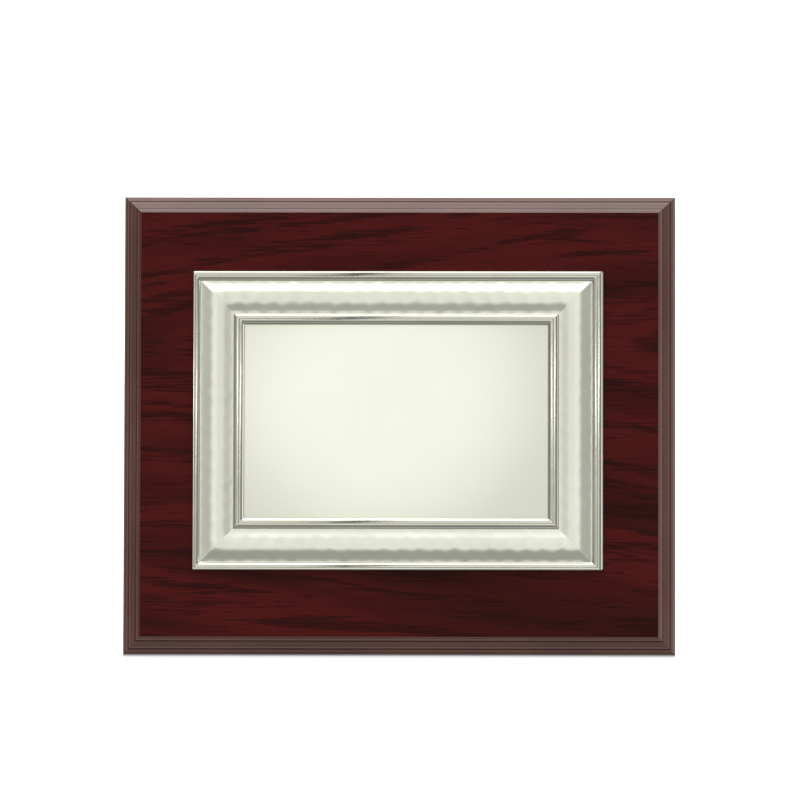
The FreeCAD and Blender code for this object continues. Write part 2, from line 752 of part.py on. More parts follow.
def build():
    """Make every sub-part, place it and return them all."""
    hanger_spots, hinge_spots = hanger_screw_spots(), hinge_screw_spots()
    leaf_face = f"-({PIN_OFFSET} - leaf_thickness)"
    on_board = [
        board_core(),
        face_veneer(),
        back_sheet(),
        plate_frame(),
        engraving_plate(),
        backing_card(),
        ridge_filler(),
        mounting_tape(),
        keyhole_hanger(),
        screws("hanger_screws", hanger_spots, "hanger_thickness", "hanger_screw_length", "-1"),
    ]
    at_hinge = [
        hinge_leaf("hinge_leaf_board", "-1", moving=False),
        hinge_pin(),
        screws("board_hinge_screws", hinge_spots, leaf_face, "board_screw_length", "-1"),
    ]
    on_strut = [
        hinge_leaf("hinge_leaf_strut", "1", moving=True),
        strut_leg(),
        screws("strut_hinge_screws", hinge_spots, f"-({leaf_face})", "strut_screw_length", "1"),
    ]
    for group, placement in (
        (on_board, lean_placement()),
        (at_hinge, hinge_placement(opened=False)),
        (on_strut, hinge_placement(opened=True)),
    ):
        for part in group:
            part.Label = part.Name
            part.Placement = placement
    document.recompute()
    return on_board + at_hinge + on_strut


def check(parts):
    """Stop if any object failed or any sub-part has no sound shape."""
    for item in document.Objects:
        if "Invalid" in item.State or "Error" in item.State:
            raise RuntimeError(f"{item.Name} failed: {item.State}")
    for part in parts:
        if part.Shape.isNull() or not part.Shape.isValid():
            raise RuntimeError(f"{part.Label} has no valid shape")


plaque_parts = build()
check(plaque_parts)
os.makedirs("parts", exist_ok=True)
for plaque_part in plaque_parts:
    plaque_part.Shape.exportStep(f"parts/{plaque_part.Label}.step")
    box = plaque_part.Shape.BoundBox
    solids = len(plaque_part.Shape.Solids)
    volume = plaque_part.Shape.Volume
    print(f"{plaque_part.Label}: {solids} solid(s), {volume:.1f} mm3, z {box.ZMin:.2f}..{box.ZMax:.2f}")
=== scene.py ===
"""Looks of the award plaque: lacquered board, hammered silver frame, satin panel, hanger and strut.

Lengths inside the sub-assemblies are millimetres in the board's own frame: X to the right,
Y from the face to the back, Z up the board, with the back at y = 0 and the face at y = -16.
`Lean` turns them into the metres of the frame that every CAD part stands in.
"""

import logging
import math
from collections.abc import Iterable, Sequence
from dataclasses import dataclass, field
from enum import Enum

import bpy
import numpy as np
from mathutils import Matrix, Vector

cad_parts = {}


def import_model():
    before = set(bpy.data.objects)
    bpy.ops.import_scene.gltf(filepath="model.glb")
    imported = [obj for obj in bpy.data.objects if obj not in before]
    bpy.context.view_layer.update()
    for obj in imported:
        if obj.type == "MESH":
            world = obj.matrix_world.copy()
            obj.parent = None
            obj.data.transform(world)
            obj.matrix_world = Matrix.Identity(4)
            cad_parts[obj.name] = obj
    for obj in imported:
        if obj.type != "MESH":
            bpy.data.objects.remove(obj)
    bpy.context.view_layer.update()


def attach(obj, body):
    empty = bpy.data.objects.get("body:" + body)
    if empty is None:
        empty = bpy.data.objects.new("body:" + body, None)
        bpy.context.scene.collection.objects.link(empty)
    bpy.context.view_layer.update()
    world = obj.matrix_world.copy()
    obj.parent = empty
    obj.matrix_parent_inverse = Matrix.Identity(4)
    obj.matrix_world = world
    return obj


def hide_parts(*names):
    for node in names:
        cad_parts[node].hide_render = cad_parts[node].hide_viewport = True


LOG = logging.getLogger("plaque")
MILLIMETRE = 0.001
WELD_GAP = 1e-6
SHARP_EDGE_DEG = 30.0
Colour = tuple[float, float, float, float]
Pair = tuple[float, float]
Tree = bpy.types.NodeTree
Socket = bpy.types.NodeSocket
Material = bpy.types.Material
Object = bpy.types.Object


class Body(str, Enum):
    """The rigid bodies of the plaque."""

    BOARD = "board"
    STRUT = "strut"


class Slot(str, Enum):
    """Material slots that the record names."""

    PAINTED_EDGE = "painted_edge"
    FACE_VENEER = "face_veneer"
    BACK_SHEET = "back_sheet"
    PRESSED_SILVER = "pressed_silver"
    SATIN_SILVER = "satin_silver"
    CARD = "card"
    FILLER = "filler"
    FOAM_TAPE = "foam_tape"
    ZINC_STEEL = "zinc_steel"
    BRASS = "brass"
    STRUT_WOOD = "strut_wood"


def linear(hex_code: str) -> Colour:
    """Turn an sRGB hex code into a linear colour.

    Args:
        hex_code: Six hex digits, such as "7f3020".

    Returns:
        Red, green, blue and an alpha of 1.
    """
    channels = [int(hex_code[start : start + 2], 16) / 255 for start in (0, 2, 4)]
    low = [channel / 12.92 for channel in channels]
    high = [((channel + 0.055) / 1.055) ** 2.4 for channel in channels]
    red, green, blue = (a if c <= 0.04045 else b for a, b, c in zip(low, high, channels))
    return red, green, blue, 1.0


def add_node(tree: Tree, kind: str, inputs: dict | None = None, **settings: object) -> bpy.types.Node:
    """Add a shader node, set its properties and fill or link its inputs.

    Args:
        tree: Node tree that takes the node.
        kind: Blender's name for the node type.
        inputs: Value or output socket for each input, by name or number.
        settings: Properties of the node itself.

    Returns:
        The new node.
    """
    node = tree.nodes.new(kind)
    for name, setting in settings.items():
        setattr(node, name, setting)
    for key, source in (inputs or {}).items():
        if isinstance(source, Socket):
            tree.links.new(source, node.inputs[key])
        else:
            node.inputs[key].default_value = source
    return node


@dataclass(frozen=True)
class Lean:
    """Where a flat sub-assembly stands: tilted about X, then moved, in millimetres."""

    tilt_deg: float
    shift_y: float
    shift_z: float

    def to_frame(self, points: np.ndarray) -> np.ndarray:
        """Turn millimetres in the sub-assembly's frame into metres where it stands.

        Args:
            points: Rows of x, y and z.

        Returns:
            Rows of the same shape.
        """
        tilt = math.radians(self.tilt_deg)
        across, deep, up = points[:, 0], points[:, 1], points[:, 2]
        placed_y = deep * math.cos(tilt) - up * math.sin(tilt) + self.shift_y
        placed_z = deep * math.sin(tilt) + up * math.cos(tilt) + self.shift_z
        return np.stack([across, placed_y, placed_z], axis=1) * MILLIMETRE

    def coordinates(self, tree: Tree) -> Socket:
        """Add nodes that give a surface point in the sub-assembly's own millimetres.

        Args:
            tree: The material's node tree.

        Returns:
            Socket that gives the point.
        """
        place = add_node(tree, "ShaderNodeTexCoord")
        settings = {
            "Vector": place.outputs["Object"],
            "Location": (0, self.shift_y * MILLIMETRE, self.shift_z * MILLIMETRE),
            "Rotation": (math.radians(self.tilt_deg), 0, 0),
            "Scale": (MILLIMETRE,) * 3,
        }
        mapping = add_node(tree, "ShaderNodeMapping", settings, vector_type="TEXTURE")
        return mapping.outputs[0]


# The board leans back on its lower rear edge; the strut's frame starts at the hinge pin.
BOARD_LEAN = Lean(-10.0, -26.559343, -0.277837)
STRUT_LEAN = Lean(18.0, -4.000761, 115.564817)


def stretched(tree: Tree, vector: Socket, per_mm: Sequence[float]) -> Socket:
    """Scale coordinates so that one unit of a pattern is 1 / per_mm millimetres each way."""
    node = add_node(tree, "ShaderNodeVectorMath", {0: vector, 1: tuple(per_mm)}, operation="MULTIPLY")
    return node.outputs[0]


def noise(
    tree: Tree,
    vector: Socket,
    per_mm: Sequence[float],
    detail: float = 2.0,
) -> Socket:
    """Noise from 0 to 1 whose grains measure 1 / per_mm millimetres each way."""
    inputs = {"Vector": stretched(tree, vector, per_mm), "Scale": 1.0, "Detail": detail}
    return add_node(tree, "ShaderNodeTexNoise", inputs).outputs[0]


def ranged(
    tree: Tree,
    source: Socket,
    low: float,
    high: float,
    to: Pair = (0.0, 1.0),
) -> Socket:
    """Ease a value from one range into another."""
    inputs = {"Value": source, 1: low, 2: high, 3: to[0], 4: to[1]}
    node = add_node(tree, "ShaderNodeMapRange", inputs, interpolation_type="SMOOTHSTEP")
    return node.outputs[0]


def blended(tree: Tree, amount: Socket, first: Colour | Socket, second: Colour | Socket) -> Socket:
    """Mix two colours by an amount."""
    node = add_node(tree, "ShaderNodeMix", {0: amount, 6: first, 7: second}, data_type="RGBA")
    return node.outputs[2]


def computed(tree: Tree, operation: str, *sources: float | Socket) -> Socket:
    """Apply a maths operation to values."""
    return add_node(tree, "ShaderNodeMath", dict(enumerate(sources)), operation=operation).outputs[0]


def raised(tree: Tree, height: Socket, depth_mm: float, under: Socket | None = None) -> Socket:
    """Turn a 0 to 1 height into relief of a real depth, over other relief if there is any."""
    inputs = {"Height": height, "Strength": 1.0, "Distance": depth_mm * MILLIMETRE}
    return add_node(tree, "ShaderNodeBump", inputs | ({"Normal": under} if under else {})).outputs[0]


def start_material(name: str) -> Material:
    """Make a material with an empty node tree.

    Args:
        name: Name of the material.

    Returns:
        The new material.
    """
    material = bpy.data.materials.new(name)
    material.use_nodes = True
    material.node_tree.nodes.clear()
    return material


def close_material(material: Material, surface: dict) -> Material:
    """Give a material its surface shader.

    Args:
        material: Material whose tree takes the shader.
        surface: Inputs of the principled shader.

    Returns:
        The same material.
    """
    tree = material.node_tree
    shader = add_node(tree, "ShaderNodeBsdfPrincipled", surface)
    add_node(tree, "ShaderNodeOutputMaterial", {"Surface": shader.outputs[0]})
    return material


@dataclass(frozen=True)
class StainedVeneer:
    """Ring-porous face veneer, stained dark red-brown under a flat clear gloss lacquer.

    Gives the eye deep red wood with ragged dark growth bands that rise to the right
    and fold into a pointed figure at the right-hand side.
    """

    pale: str = "551613"
    middle: str = "3d100e"
    dark: str = "2b0d0a"
    pore: str = "200907"
    figure_height: float = 136.0
    figure_blunt: float = 14.0
    figure_slope: float = 0.115
    sway_mm: float = 16.0
    raggedness: float = 0.65
    streaks: Pair = (0.81, 0.99)
    streak_share: float = 0.75
    clouds: Pair = (0.32, 0.62)
    fibre_share: float = 0.45
    dashes: Pair = (0.60, 0.68)
    dashed_growth: Pair = (0.83, 0.95)
    pore_share: float = 0.8
    pore_depth: float = 0.012
    film_depth: float = 0.006
    lacquer_roughness: float = 0.03

    def rings(self, tree: Tree, place: Socket) -> Socket:
        """Measure how far across the growth rings each point lies.

        Args:
            tree: The material's node tree.
            place: Surface point in millimetres.

        Returns:
            The distance in millimetres.
        """
        split = add_node(tree, "ShaderNodeSeparateXYZ", {0: place})
        offset = computed(tree, "SUBTRACT", split.outputs[2], self.figure_height)
        squared = computed(tree, "MULTIPLY", offset, offset)
        blunted = computed(tree, "ADD", squared, self.figure_blunt**2)
        root = computed(tree, "SQRT", blunted)
        along = computed(tree, "MULTIPLY", split.outputs[0], self.figure_slope)
        straight = computed(tree, "SUBTRACT", root, along)
        sway = noise(tree, place, (0.011, 0.011, 0.024), 1.0)
        swayed = computed(tree, "MULTIPLY", sway, self.sway_mm)
        return computed(tree, "ADD", straight, swayed)

    def build(self) -> Material:
        """Make the finish.

        Returns:
            The finished material.
        """
        material = start_material("Stained_veneer_lacquered")
        tree = material.node_tree
        place = BOARD_LEAN.coordinates(tree)
        split = add_node(tree, "ShaderNodeSeparateXYZ", {0: place})
        across = self.rings(tree, place)
        ring_place = add_node(
            tree,
            "ShaderNodeCombineXYZ",
            {0: split.outputs[0], 1: split.outputs[1], 2: across},
        ).outputs[0]
        bands = noise(tree, ring_place, (0.020, 0.02, 0.27), 2.0)
        fibre = noise(tree, place, (0.05, 0.2, 1.5), 3.0)
        fine = noise(tree, place, (0.2, 0.4, 6.0), 2.0)
        ragged = computed(tree, "MULTIPLY_ADD", fibre, self.raggedness, bands)
        streak = ranged(tree, ragged, *self.streaks, (0.0, self.streak_share))
        cloud = noise(tree, ring_place, (0.009, 0.02, 0.06), 1.0)
        base = blended(tree, ranged(tree, cloud, *self.clouds), linear(self.middle), linear(self.pale))
        threads = ranged(tree, fibre, 0.45, 0.75, (0.0, self.fibre_share))
        fibrous = blended(tree, threads, base, linear(self.dark))
        streaked = blended(tree, streak, fibrous, linear(self.dark))
        short = ranged(tree, fine, *self.dashes)
        dashes = computed(tree, "MULTIPLY", short, ranged(tree, ragged, *self.dashed_growth))
        inked = computed(tree, "MULTIPLY", dashes, self.pore_share)
        colour = blended(tree, inked, streaked, linear(self.pore))
        pores = raised(tree, computed(tree, "SUBTRACT", 1.0, dashes), self.pore_depth)
        film = noise(tree, place, (0.22, 0.22, 0.22), 1.0)
        lacquer = raised(tree, film, self.film_depth)
        roughness = ranged(tree, fine, 0.3, 0.7, (0.32, 0.45))
        surface = {
            "Base Color": colour,
            "Roughness": roughness,
            "Specular IOR Level": 0.05,
            "Normal": pores,
            "Coat Weight": 1.0,
            "Coat Roughness": self.lacquer_roughness,
            "Coat IOR": 1.5,
            "Coat Normal": lacquer,
        }
        return close_material(material, surface)


@dataclass(frozen=True)
class SprayedPaint:
    """Brown lacquer sprayed on routed fibreboard, semi-gloss.

    Gives the eye a smooth brown edge whose slopes pick up a pale grey-pink sheen. The lines
    that run round the edge are colour only: painted highlights along the arrises and painted
    shade in the quirks and along grooves; their places are insets in millimetres.
    """

    name: str = "Sprayed_brown_lacquer"
    colour: str = "5d3b33"
    worn: str = "67433a"
    painted_highlight: str = "a07a6e"
    crease_shade: str = "1d0d0a"
    roughness: float = 0.2
    quirks: tuple[float, ...] = (2.45, 5.65)
    groove_shade_lines: tuple[float, ...] = (3.75, 6.9)
    arrises: tuple[float, ...] = (1.7, 3.05, 6.25)
    line_reach: float = 0.34
    line_strength: float = 0.85
    painted_highlight_share: float = 0.35
    groove_shade_share: float = 0.3
    gloss: float = 0.35
    coat_roughness: float = 0.12
    half_width: float = 120.0
    height: float = 200.0

    def lines(self, tree: Tree, place: Socket, places: Sequence[float]) -> Socket:
        """Draw thin lines that run round the edge.

        Args:
            tree: The material's node tree.
            place: Surface point in millimetres.
            places: Inset of each line from the outline, in millimetres.

        Returns:
            Amount of line at each point.
        """
        split = add_node(tree, "ShaderNodeSeparateXYZ", {0: place})
        from_side = computed(
            tree, "SUBTRACT", self.half_width, computed(tree, "ABSOLUTE", split.outputs[0])
        )
        from_top = computed(tree, "SUBTRACT", self.height, split.outputs[2])
        from_end = computed(tree, "MINIMUM", from_top, split.outputs[2])
        inset = computed(tree, "MINIMUM", from_side, from_end)
        total = None
        for middle in places:
            away = computed(tree, "ABSOLUTE", computed(tree, "SUBTRACT", inset, middle))
            line = ranged(tree, away, 0.0, self.line_reach, (self.line_strength, 0.0))
            total = line if total is None else computed(tree, "MAXIMUM", total, line)
        return total

    def build(self) -> Material:
        """Make the finish.

        Returns:
            The finished material.
        """
        material = start_material(self.name)
        tree = material.node_tree
        place = BOARD_LEAN.coordinates(tree)
        cloud = noise(tree, place, (0.03, 0.03, 0.03), 3.0)
        sprayed = blended(tree, ranged(tree, cloud, 0.35, 0.7), linear(self.colour), linear(self.worn))
        # Painted highlight: pale lines along the arrises, where the rounded edges would catch the light.
        corners = self.lines(tree, place, self.arrises)
        painted_highlight = computed(tree, "MULTIPLY", corners, self.painted_highlight_share)
        # Painted shade: dark lines where small grooves would be shaded; the mesh has no step there.
        groove_shade = self.lines(tree, place, self.groove_shade_lines)
        groove_shade_amount = computed(tree, "MULTIPLY", groove_shade, self.groove_shade_share)
        # Painted shade: dark lines in the quirks, where shade falls in the creases, joined with the
        # groove shade.
        crease_shade = computed(tree, "MAXIMUM", self.lines(tree, place, self.quirks), groove_shade_amount)
        highlighted = blended(tree, painted_highlight, sprayed, linear(self.painted_highlight))
        colour = blended(tree, crease_shade, highlighted, linear(self.crease_shade))
        gloss = ranged(tree, crease_shade, 0.0, 1.0, (self.gloss, 0.0))
        peel = noise(tree, place, (0.9, 0.9, 0.9), 1.0)
        fibres = noise(tree, place, (4.0, 4.0, 4.0), 2.0)
        relief = raised(tree, peel, 0.006, raised(tree, fibres, 0.003))
        roughness = ranged(tree, fibres, 0.3, 0.7, (self.roughness, self.roughness + 0.1))
        surface = {
            "Base Color": colour,
            "Roughness": roughness,
            "IOR": 1.5,
            "Specular IOR Level": 0.25,
            "Normal": relief,
            "Coat Weight": gloss,
            "Coat Roughness": self.coat_roughness,
            "Coat IOR": 1.5,
        }
        return close_material(material, surface)


@dataclass(frozen=True)
class PrintedFoil:
    """Matt brown balancing foil on the back, with a faint printed grain."""

    pale: str = "5a3a2e"
    dark: str = "46291f"

    def build(self) -> Material:
        """Make the finish.

        Returns:
            The finished material.
        """
        material = start_material("Printed_backing_foil")
        tree = material.node_tree
        place = BOARD_LEAN.coordinates(tree)
        grain = noise(tree, place, (0.02, 0.2, 0.9), 4.0)
        colour = blended(tree, ranged(tree, grain, 0.35, 0.65), linear(self.pale), linear(self.dark))
        tooth = noise(tree, place, (2.5, 2.5, 2.5), 3.0)
        scuff = noise(tree, place, (0.03, 0.03, 0.05), 3.0)
        surface = {
            "Base Color": colour,
            "Roughness": ranged(tree, scuff, 0.3, 0.7, (0.5, 0.7)),
            "IOR": 1.5,
            "Normal": raised(tree, tooth, 0.02),
        }
        return close_material(material, surface)


@dataclass(frozen=True)
class SheetMetal:
    """Plated or bare sheet metal with a fine surface grain.

    Gives the eye anything from a mirror bead to a satin panel, by its roughness. With a fall-off
    shade colour it darkens to that away from the dome's centre, as painted shade round a painted
    pool of reflected light, and it domes slightly away from the same centre.
    """

    name: str
    colour: str
    stain: str
    roughness: float
    spread: float
    grain_per_mm: Sequence[float]
    grain_depth: float
    lean: Lean = BOARD_LEAN
    falloff_shade: str = ""
    dome_centre: Pair = (-8.0, 113.0)
    dome_rise: float = 0.0
    dome_radius: float = 78.0

    def spread_out(self, tree: Tree, place: Socket) -> Socket:
        """Measure how far each point is from the dome's centre.

        Args:
            tree: The material's node tree.
            place: Surface point in millimetres.

        Returns:
            The squared distance, as a share of the dome's squared radius.
        """
        x, z = self.dome_centre
        settings = {0: place, 1: (x, 0.0, z)}
        offset = add_node(tree, "ShaderNodeVectorMath", settings, operation="SUBTRACT").outputs[0]
        flat = add_node(
            tree, "ShaderNodeVectorMath", {0: offset, 1: (1, 0, 1)}, operation="MULTIPLY"
        ).outputs[0]
        away = add_node(
            tree, "ShaderNodeVectorMath", {0: flat, 1: flat}, operation="DOT_PRODUCT"
        ).outputs["Value"]
        return computed(tree, "MULTIPLY", away, 1 / self.dome_radius**2)

    def build(self) -> Material:
        """Make the finish.

        Returns:
            The finished material.
        """
        material = start_material(self.name)
        tree = material.node_tree
        place = self.lean.coordinates(tree)
        cloud = noise(tree, place, (0.02, 0.02, 0.02), 3.0)
        colour = blended(tree, ranged(tree, cloud, 0.3, 0.75), linear(self.colour), linear(self.stain))
        under = None
        if self.falloff_shade:
            away = self.spread_out(tree, place)
            # Painted shade: the colour darkens away from the centre, leaving a painted pool of reflected
            # light in the middle.
            colour = blended(tree, ranged(tree, away, 0.0, 1.0), colour, linear(self.falloff_shade))
            under = raised(tree, computed(tree, "SUBTRACT", 1.0, away), self.dome_rise)
        grain = noise(tree, place, self.grain_per_mm, 2.0)
        marks = noise(tree, place, (0.15, 0.15, 0.15), 4.0)
        roughness = ranged(tree, marks, 0.3, 0.7, (self.roughness, self.roughness + self.spread))
        surface = {
            "Base Color": colour,
            "Metallic": 1.0,
            "Roughness": roughness,
            "Normal": raised(tree, grain, self.grain_depth, under),
        }
        return close_material(material, surface)


@dataclass(frozen=True)
class StainedBeech:
    """Straight-grained leg wood, stained brown and thinly lacquered, grain along the leg."""

    pale: str = "54291f"
    dark: str = "35170f"
    fleck: str = "26100b"

    def build(self) -> Material:
        """Make the finish.

        Returns:
            The finished material.
        """
        material = start_material("Stained_leg_wood")
        tree = material.node_tree
        place = STRUT_LEAN.coordinates(tree)
        bands = noise(tree, place, (0.35, 0.35, 0.02), 3.0)
        flecks = noise(tree, place, (2.2, 2.2, 0.14), 3.0)
        base = blended(tree, ranged(tree, bands, 0.3, 0.7), linear(self.pale), linear(self.dark))
        colour = blended(tree, ranged(tree, flecks, 0.55, 0.72, (0.0, 0.6)), base, linear(self.fleck))
        surface = {
            "Base Color": colour,
            "Roughness": ranged(tree, bands, 0.3, 0.7, (0.3, 0.42)),
            "IOR": 1.5,
            "Normal": raised(tree, flecks, 0.03),
            "Coat Weight": 0.4,
            "Coat Roughness": 0.25,
            "Coat IOR": 1.5,
        }
        return close_material(material, surface)


@dataclass(frozen=True)
class PlainFill:
    """Unseen layer: card, moulded filler or foam, with a fibrous or cellular tooth."""

    name: str
    pale: str
    dark: str
    cell_mm: float

    def build(self) -> Material:
        """Make the finish.

        Returns:
            The finished material.
        """
        material = start_material(self.name)
        tree = material.node_tree
        place = BOARD_LEAN.coordinates(tree)
        cells = noise(tree, place, (1 / self.cell_mm,) * 3, 3.0)
        colour = blended(tree, ranged(tree, cells, 0.35, 0.65), linear(self.pale), linear(self.dark))
        surface = {
            "Base Color": colour,
            "Roughness": ranged(tree, cells, 0.3, 0.7, (0.75, 0.95)),
            "Normal": raised(tree, cells, 0.05),
        }
        return close_material(material, surface)


def dress(node: str, material: Material) -> Object:
    """Give a CAD node its finish.

    Args:
        node: Name of the CAD node.
        material: Finish for all of it.

    Returns:
        The node's object.
    """
    thing = bpy.data.objects[node]
    thing.data.materials.clear()
    thing.data.materials.append(material)
    return thing


def ease_edges(thing: Object, width_mm: float, segments: int = 2) -> None:
    """Break the sharp edges of a piece by a small radius.

    Args:
        thing: The piece.
        width_mm: Width of the broken edge.
        segments: Faces across it.
    """
    weld = thing.modifiers.new("weld", "WELD")
    weld.merge_threshold = WELD_GAP
    bevel = thing.modifiers.new("edges", "BEVEL")
    bevel.width = width_mm * MILLIMETRE
    bevel.segments = segments
    bevel.limit_method = "ANGLE"
    bevel.angle_limit = math.radians(SHARP_EDGE_DEG)
    bevel.harden_normals = True


def make_mesh(
    name: str,
    points: np.ndarray,
    faces: Iterable[Sequence[int]],
    body: Body,
    stands_for: str,
) -> Object:
    """Make a piece that stands for a CAD node.

    Args:
        name: Name of the piece.
        points: Rows of x, y and z in metres, where the piece stands.
        faces: Corner numbers of each face.
        body: Body that it moves with.
        stands_for: The CAD node that it replaces.

    Returns:
        The new object.
    """
    mesh = bpy.data.meshes.new(name)
    mesh.from_pydata(points.tolist(), [], [list(face) for face in faces])
    mesh.shade_smooth()
    thing = bpy.data.objects.new(name, mesh)
    bpy.context.scene.collection.objects.link(thing)
    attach(thing, body.value)
    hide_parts(stands_for)
    return thing


def between_rings(first: int, count: int, rings: int) -> np.ndarray:
    """Join closed rings of points, each to the next, by quads.

    Args:
        first: Number of the first point.
        count: Points in a ring.
        rings: Number of rings.

    Returns:
        Rows of four point numbers.
    """
    around = np.arange(count)
    following = (around + 1) % count
    quads = []
    for low in range(first, first + (rings - 1) * count, count):
        high = low + count
        corners = [low + around, low + following, high + following, high + around]
        quads.append(np.stack(corners, axis=1))
    return np.concatenate(quads)


def lay_sheet(name: str, wide: float, tall: float) -> Object:
    """Make a flat rectangle about the origin, facing up.

    Args:
        name: Name of the object.
        wide: Metres along X.
        tall: Metres along Y.

    Returns:
        The new object.
    """
    x, y = wide / 2, tall / 2
    mesh = bpy.data.meshes.new(name)
    mesh.from_pydata([(-x, -y, 0), (x, -y, 0), (x, y, 0), (-x, y, 0)], [], [(0, 1, 2, 3)])
    sheet = bpy.data.objects.new(name, mesh)
    bpy.context.scene.collection.objects.link(sheet)
    return sheet


@dataclass
class Board:
    """Fibreboard core with its routed edge, the face veneer and the backing foil."""

    veneer: StainedVeneer = field(default_factory=StainedVeneer)
    paint: SprayedPaint = field(default_factory=SprayedPaint)
    foil: PrintedFoil = field(default_factory=PrintedFoil)
    facing: float = 0.99

    def build(self) -> None:
        """Dress the three layers of the board."""
        paint = self.paint.build()
        dress("board_core", paint)
        face = dress("face_veneer", self.veneer.build())
        face.data.materials.append(paint)
        self.paint_bevel(face)
        dress("back_sheet", self.foil.build())
        LOG.info("board: veneered face, painted moulding and foil back")

    def paint_bevel(self, face: Object) -> None:
        """Give the veneer's routed bevel the paint of the moulding, and leave its face clear.

        Args:
            face: The veneer, with its own finish first and the paint second.
        """
        tilt = math.radians(BOARD_LEAN.tilt_deg)
        outward = Vector((0, -math.cos(tilt), -math.sin(tilt)))
        for polygon in face.data.polygons:
            polygon.material_index = 0 if polygon.normal.dot(outward) > self.facing else 1


@dataclass
class PressedFrame:
    """Pressed silver sheet: two polished beads with a hammered ridge between them.

    Offsets run inward from the outline of the embossing, heights outward from the veneer.
    """

    centre: Pair = (-1.41, 101.08)
    half_size: Pair = (89.85, 66.05)
    trims: tuple[float, float, float, float] = (1.81, 0.0, 1.57, 0.53)
    even_offset: float = 2.2
    bead_width: float = 4.75
    bead_rise: float = 1.2
    slopes: tuple[float, float, float] = (4.6, 6.1, 3.7)
    crown_rise: float = 0.5
    seat: float = 1.8
    shoulder: float = 4.0
    lip: float = 2.6
    panel_top: float = 2.1
    skirt_foot: float = 0.5
    fold_radius: float = 0.35
    ridge_round: float = 0.9
    face_y: float = -16.0
    lip_drop: float = 0.25
    bead_rings: int = 22
    ridge_rings: int = 38
    hammer_seed: int = 11
    dimple_pitch: float = 7.7
    dimple_rows: tuple[float, ...] = (7.0, 12.0, 16.9)
    dimple_stray: Pair = (0.9, 0.6)
    dimple_depth: float = 0.26
    upright_share: float = 0.6
    mitre_fade: float = 6.0
    edge_fade: float = 1.2
    dimple_reach: float = 4.2
    dimple_blend: float = 14.0
    step_along: float = 0.5

    @property
    def ridge(self) -> Pair:
        """Offsets where the hammered ridge starts and ends."""
        return self.bead_width, self.bead_width + sum(self.slopes)

    @property
    def border(self) -> float:
        """Offset of the window's edge."""
        return self.ridge[1] + self.bead_width

    def profile(self, offset: np.ndarray) -> np.ndarray:
        """Find the height of the pressed surface, its ridge rounded over at the shoulders.

        Args:
            offset: Offsets inward.

        Returns:
            Height at each offset.
        """
        start, end = self.ridge
        weights = np.hanning(9)[1:-1]
        steps = np.linspace(-self.ridge_round, self.ridge_round, len(weights))
        pairs = zip(weights / weights.sum(), steps)
        soft = sum(weight * self.sharp_profile(offset + step) for weight, step in pairs)
        sharp = self.sharp_profile(offset)
        inside = np.minimum(offset - start, end - offset) / (2 * self.ridge_round)
        share = np.clip(inside, 0, 1)
        return sharp * (1 - share) + soft * share

    def sharp_profile(self, offset: np.ndarray) -> np.ndarray:
        """Find the height before the shoulders are rounded.

        Args:
            offset: Offsets inward.

        Returns:
            Height at each offset.
        """
        start, end = self.ridge
        marks = [0, start, start + self.slopes[0], start + sum(self.slopes[:2]), end, self.border]
        levels = [self.seat, self.seat, self.shoulder, self.shoulder, self.lip, self.lip]
        height = np.interp(offset, marks, levels)
        height += self.arch(offset, 0, self.bead_width, self.bead_rise)
        height += self.arch(offset, marks[2], marks[3], self.crown_rise)
        return height + self.arch(offset, end, self.border, self.bead_rise)

    @staticmethod
    def arch(offset: np.ndarray, start: float, end: float, rise: float) -> np.ndarray:
        """Find the height of a circular arch between two offsets, and 0 outside them.

        Args:
            offset: Offsets inward.
            start: Offset of one foot.
            end: Offset of the other.
            rise: Height of its crown.

        Returns:
            Height at each offset.
        """
        half = (end - start) / 2
        radius = (half**2 + rise**2) / (2 * rise)
        across = np.clip(offset - start - half, -half, half)
        return np.sqrt(radius**2 - across**2) - (radius - rise)

    def blows(self) -> np.ndarray:
        """Place the hammer blows in staggered rows along each side.

        Returns:
            Their centres as rows of x and z.
        """
        random = np.random.default_rng(self.hammer_seed)
        stray_along, stray_across = self.dimple_stray
        half_x, half_z = self.half_size
        centres = []
        for row, offset in enumerate(self.dimple_rows):
            for half_run, half_off, upright in (
                (half_x, half_z, False),
                (half_z, half_x, True),
            ):
                run = 2 * (half_run - offset)
                count = round(run / self.dimple_pitch)
                spots = (np.arange(count) + 0.5 + 0.25 * (row % 2)) * run / count - run / 2
                for hand in (-1, 1):
                    along = spots + random.uniform(-stray_along, stray_along, count)
                    shift = random.uniform(-stray_across, stray_across, count)
                    across = hand * (half_off - offset) + shift
                    pair = (across, along) if upright else (along, across)
                    centres.append(np.stack(pair, axis=1))
        return np.concatenate(centres) + np.array(self.centre)

    def hammering(self, spots: np.ndarray, offset: np.ndarray) -> np.ndarray:
        """Find the relief of the blows, weaker on the upright sides and 0 off the ridge.

        Args:
            spots: Rows of x and z.
            offset: Offset of each spot from the outline.

        Returns:
            Height that the blows add at each spot, 0 or less.
        """
        start, end = self.ridge
        total = np.zeros(len(spots))
        for centre in self.blows():
            distance = ((spots - centre) ** 2).sum(1) / self.dimple_reach**2
            total += np.exp(-self.dimple_blend * np.minimum(distance, 3.0) * self.dimple_depth)
        bowls = -np.log(np.maximum(total, 1e-9)) / self.dimple_blend
        depth = np.minimum(bowls, self.dimple_depth) - self.dimple_depth
        fade = np.clip(np.minimum(offset - start, end - offset) / self.edge_fade, 0, 1)
        inset = np.array(self.half_size) - np.abs(spots - np.array(self.centre))
        upright = np.clip((inset[:, 1] - inset[:, 0]) / self.mitre_fade + 0.5, 0, 1)
        return depth * fade * (1 - (1 - self.upright_share) * upright)

    def offsets(self) -> list[float]:
        """List the offsets of the mesh's rings, finer on the beads than on the ridge.

        Returns:
            The offsets, from the outline inward.
        """
        start, end = self.ridge
        outer = np.linspace(0, start, self.bead_rings)
        ridge = np.linspace(start, end, self.ridge_rings)[1:-1]
        inner = np.linspace(end, self.border, self.bead_rings)
        return [*outer, *ridge, *inner]

